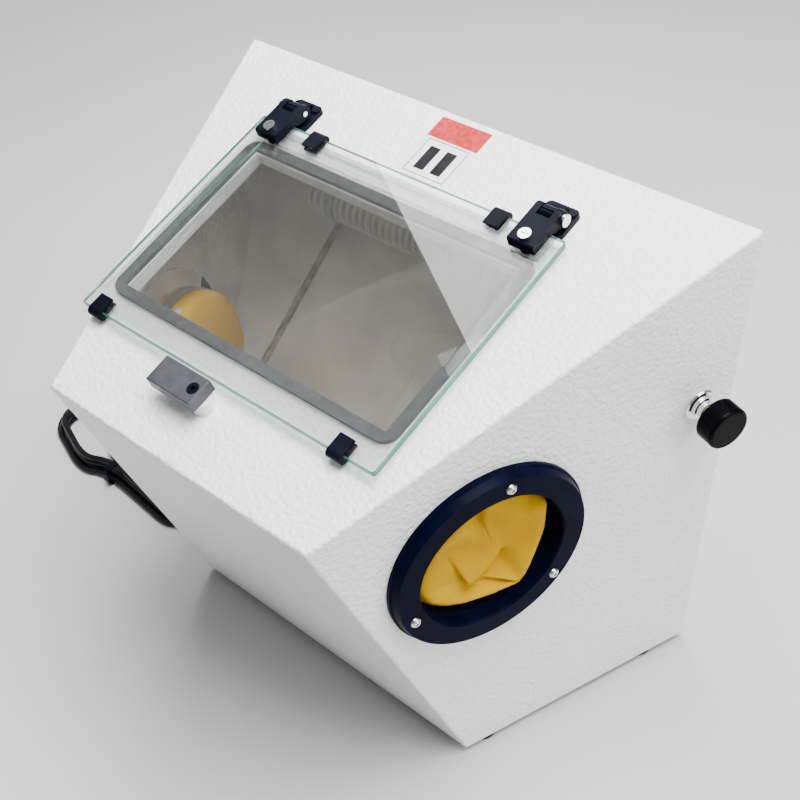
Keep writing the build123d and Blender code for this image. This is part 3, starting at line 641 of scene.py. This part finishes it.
def make_glove(name, on, mirrored):
    """The skin that the port shows: folds drawn out to the collar's end."""
    names = list(FOLDS)
    spots = [Vector(FOLDS[key]) for key in names]
    around = 24
    for i in range(around):
        angle = 2 * math.pi * i / around
        low = -8.0 - 18.0 * max(0.0, math.cos(angle + 0.9))
        spots.append(Vector((RIM * math.cos(angle), RIM * math.sin(angle), low)))
    count = len(names)
    edges = [(names.index(a), names.index(b)) for a, b in FOLD_EDGES]
    edges += [(count + i, count + (i + 1) % around) for i in range(around)]
    flat = [spot.xy for spot in spots]
    found, _, faces, origins, _, _ = delaunay_2d_cdt(flat, edges, [], 1, 1e-4)
    sign = -1 if mirrored else 1
    work = bmesh.new()
    corners = []
    for spot, origin in zip(found, origins):
        height = spots[origin[0]].z if origin else -6.0
        corners.append(work.verts.new((sign * spot.x, spot.y, height)))
    for triangle in faces:
        work.faces.new([corners[i] for i in triangle])
    bmesh.ops.recalc_face_normals(work, faces=work.faces)
    for _ in range(2):
        bmesh.ops.subdivide_edges(work, edges=work.edges, cuts=1, use_grid_fill=True)
        bmesh.ops.triangulate(work, faces=work.faces)
    inside = [v for v in work.verts if not v.is_boundary]
    bmesh.ops.smooth_vert(
        work, verts=inside, factor=0.5, use_axis_x=True, use_axis_y=True, use_axis_z=True
    )
    rim = [e for e in work.edges if e.is_boundary]
    grown = bmesh.ops.extrude_edge_only(work, edges=rim)["geom"]
    for vertex in (v for v in grown if isinstance(v, bmesh.types.BMVert)):
        vertex.co.z = COLLAR_END - 2.0
    bmesh.ops.transform(work, matrix=on, verts=work.verts)
    data = bpy.data.meshes.new(name)
    work.to_mesh(data)
    work.free()
    data.shade_smooth()
    data.materials.append(YELLOW)
    piece = bpy.data.objects.new(name, data)
    bpy.context.scene.collection.objects.link(piece)
    solid = piece.modifiers.new("wall", "SOLIDIFY")
    solid.thickness = GLOVE_WALL * MM
    solid.offset = 0.0
    softer = piece.modifiers.new("softer", "SUBSURF")
    softer.levels = 1
    softer.render_levels = 1
    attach(piece, "cabinet")
    return piece


def make_sleeve(name, on):
    """The glove's sleeve inside the cabinet, sagging from its cuff."""
    cuff_in, cuff_out, cuff_start = 57.7, 59.5, -9.5
    tip_depth = -14.0
    profile = [(cuff_in, cuff_start), (cuff_out, cuff_start), (cuff_out, COLLAR_END - 4)]
    steps = 14
    for i in range(1, steps + 1):
        turn = 0.5 * math.pi * i / steps
        height = COLLAR_END - 4 + (tip_depth + 4) * math.sin(turn)
        profile.append((cuff_out * math.cos(turn) + 0.5, height))
    for i in range(steps, 0, -1):
        turn = 0.5 * math.pi * i / steps
        height = COLLAR_END - 3 + (tip_depth + 5) * math.sin(turn)
        profile.append((cuff_in * math.cos(turn) + 0.4, height))
    profile.append((cuff_in, COLLAR_END - 2))
    piece = lathe(name, on, profile, YELLOW, around=72)
    inward = on.to_3x3().col[2].normalized()
    start = on.translation - inward * (-COLLAR_END) * MM
    for vertex in piece.data.vertices:
        past = max(0.0, (start - vertex.co).dot(inward)) / MM
        around = math.atan2(vertex.co.z - start.z, vertex.co.y - start.y)
        gather = 1.5 * math.sin(5 * around) + 0.9 * math.sin(11 * around + 1.3)
        away = vertex.co - start
        away -= inward * away.dot(inward)
        if past > 0 and away.length > 1e-4:
            vertex.co -= away.normalized() * (0.8 + 0.06 * past) * max(0.0, 1.0 + gather) * MM
        vertex.co.z -= 0.004 * past * past * MM
    return piece


for side, on, mirrored in (("right", PORT_RIGHT, False), ("left", PORT_LEFT, True)):
    skin = make_glove(f"glove_skin_{side}", on, mirrored)
    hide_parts(f"glove_{side}")
    make_sleeve(f"glove_sleeve_{side}", on)

# A dark brown strip laid along the chute's fold.
FOLD_TOP = place(-132, 309, 279.6)
FOLD_LOW = place(-150, 211, 169.2)
fold_line = FOLD_LOW - FOLD_TOP
FOLD_DARK = mottled(
    "fold_dark_strip", (0.10, 0.075, 0.045), (0.24, 0.19, 0.13), 90.0, 0.95,
    bump=0.6, bump_scale=500,
)
fold_points = [FOLD_TOP + along * fold_line for along in (0.03, 0.9, 1.55)]
seam = make_curve("chute_seam", fold_points, radius=3.4)
paint(seam, FOLD_DARK)
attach(seam, "cabinet")

# Extraction duct: a corrugated hose with the CAD tube's ends.
DUCT_Y, DUCT_Z = 286.0, 300.0
DUCT_FROM, DUCT_TO = -140.0, 74.0
DUCT_PITCH = (DUCT_TO - DUCT_FROM) / 31
DUCT_OUTER, DUCT_RIDGE = 15.1, 1.3
DUCT_INNER, DUCT_GROOVE = 14.1, 0.5
DUCT = ringed_duct()


def make_duct():
    on = face(place(DUCT_FROM, DUCT_Y, DUCT_Z), (0, 1, 0), (1, 0, 0))
    length = DUCT_TO - DUCT_FROM
    steps = round(length / DUCT_PITCH * 10)
    outer = []
    inner = []
    for i in range(steps + 1):
        along = length * i / steps
        wave = math.cos(2 * math.pi * along / DUCT_PITCH)
        outer.append((DUCT_OUTER + DUCT_RIDGE * wave, along))
        inner.append((DUCT_INNER + DUCT_GROOVE * wave, along))
    piece = lathe("duct_hose", on, outer + inner[::-1], DUCT, around=64)
    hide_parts("extraction_duct")


make_duct()


# Label: a mottled red band over a frame with two plain bars in it.
def slab(name, on, outline, low, high, material):
    """A flat plate of an outline, standing on a frame."""
    count = len(outline)
    vertices = [on @ Vector((x, y, low)) for x, y in outline]
    vertices += [on @ Vector((x, y, high)) for x, y in outline]
    faces = [tuple(range(count))[::-1], tuple(range(count, 2 * count))]
    for i in range(count):
        j = (i + 1) % count
        faces.append((i, j, count + j, count + i))
    return make_mesh(name, vertices, faces, material, smooth=False)


def rectangle(x0, y0, x1, y1):
    return [(x0, y0), (x1, y0), (x1, y1), (x0, y1)]


def make_label():
    red = mottled("label_red", (0.34, 0.012, 0.012), (0.50, 0.05, 0.045), 300.0, 0.5, specular=0.1)
    ink = mottled(
        "label_ink", (0.004, 0.004, 0.005), (0.012, 0.012, 0.014), 90.0, 0.5,
        specular=0.1,
    )
    faint = mottled("label_faint", (0.70, 0.69, 0.70), (0.78, 0.77, 0.78), 700.0, 0.5)
    base, band_top = 0.32, 0.38
    ink_depth = 0.05
    band = slab("label_band", TOP, rectangle(-25, 302.5, 20, 321.8), base, band_top, red)
    shapes = [
        ("label_bar_left", rectangle(-15, 273, -6, 295), ink),
        ("label_bar_right", rectangle(0, 273, 9, 295), ink),
        ("label_frame_top", rectangle(-21, 300.2, 15.5, 300.8), ink),
        ("label_frame_low", rectangle(-21, 268.2, 15.5, 268.8), ink),
        ("label_frame_left", rectangle(-21, 268.8, -20.4, 300.2), ink),
        ("label_frame_right", rectangle(14.9, 268.8, 15.5, 300.2), ink),
    ]
    shapes += [
        (f"label_line_{i}", rectangle(-22, 249 + 4.2 * i, 16, 250.6 + 4.2 * i), faint)
        for i in range(4)
    ]
    for name, outline, material in shapes:
        slab(name, TOP, outline, base, base + ink_depth, material)


make_label()


# Floor, lights and surroundings.
def make_stage():
    floor_material = mottled("floor_grey", (0.50, 0.50, 0.50), (0.55, 0.55, 0.548), 1.2, 0.55)
    size = 6.0
    data = bpy.data.meshes.new("floor")
    corners = [(-size, -size, 0), (size, -size, 0), (size, size, 0), (-size, size, 0)]
    data.from_pydata(corners, [], [(0, 1, 2, 3)])
    data.materials.append(floor_material)
    floor = bpy.data.objects.new("floor", data)
    bpy.context.scene.collection.objects.link(floor)


def softbox(name, matrix, long, wide, energy):
    data = bpy.data.lights.new(name, "AREA")
    data.shape = "RECTANGLE"
    data.size = long
    data.size_y = wide
    data.energy = energy
    light = bpy.data.objects.new(name, data)
    bpy.context.scene.collection.objects.link(light)
    light.matrix_world = matrix


def make_light(name, position, target, size, energy):
    """A square softbox that faces a target."""
    way = Vector(position) - Vector(target)
    turn = way.to_track_quat("Z", "Y").to_matrix().to_4x4()
    softbox(name, Matrix.Translation(position) @ turn, size, size, energy)


# The glare's straight edge on the glass, a point on its bright side, and how
# far along the mirrored rays its softbox hangs, in metres.
GLARE_EDGE = ((27.4, 221.6), (117.4, 166.8))
GLARE_SIDE = (129, 252)
SOFTBOX_AWAY = 1.1
SOFTBOX_SIZE = (1.3, 0.6)


def make_window_light():
    """A softbox whose mirror image lies across the glass's right corner."""
    eye = bpy.context.scene.camera.matrix_world.translation
    normal = TOP.to_3x3().col[2].normalized()
    height = (eye - TOP.translation).dot(normal) - GLASS_TOP * MM
    mirrored = eye - 2 * height * normal

    def cast(x, up):
        spot = TOP @ Vector((x, up, GLASS_TOP))
        return spot + (spot - mirrored).normalized() * SOFTBOX_AWAY

    spots = [cast(*at) for at in GLARE_EDGE]
    toward = cast(*GLARE_SIDE) - spots[0]
    along = (spots[1] - spots[0]).normalized()
    aside = (toward - along * toward.dot(along)).normalized()
    facing = along.cross(aside)
    if facing.z < 0:
        facing = -facing
    long, wide = SOFTBOX_SIZE
    middle = (spots[0] + spots[1]) / 2 + aside * wide / 2
    turn = Matrix((along, facing.cross(along), facing)).transposed().to_4x4()
    softbox("window_light", Matrix.Translation(middle) @ turn, long, wide, energy=20)


def make_lights():
    world = bpy.data.worlds.new("studio")
    world.use_nodes = True
    world.node_tree.nodes["Background"].inputs["Color"].default_value = (0.97, 0.98, 1.0, 1)
    world.node_tree.nodes["Background"].inputs["Strength"].default_value = 0.38
    bpy.context.scene.world = world
    make_light("key", (0.5, 0.1, 2.1), target=(0, 0, 0.2), size=1.3, energy=105)
    make_light("side", (2.0, 0.3, 1.1), target=(0.1, 0, 0.2), size=1.2, energy=26)
    make_window_light()


make_stage()
make_lights()

bpy.context.view_layer.update()
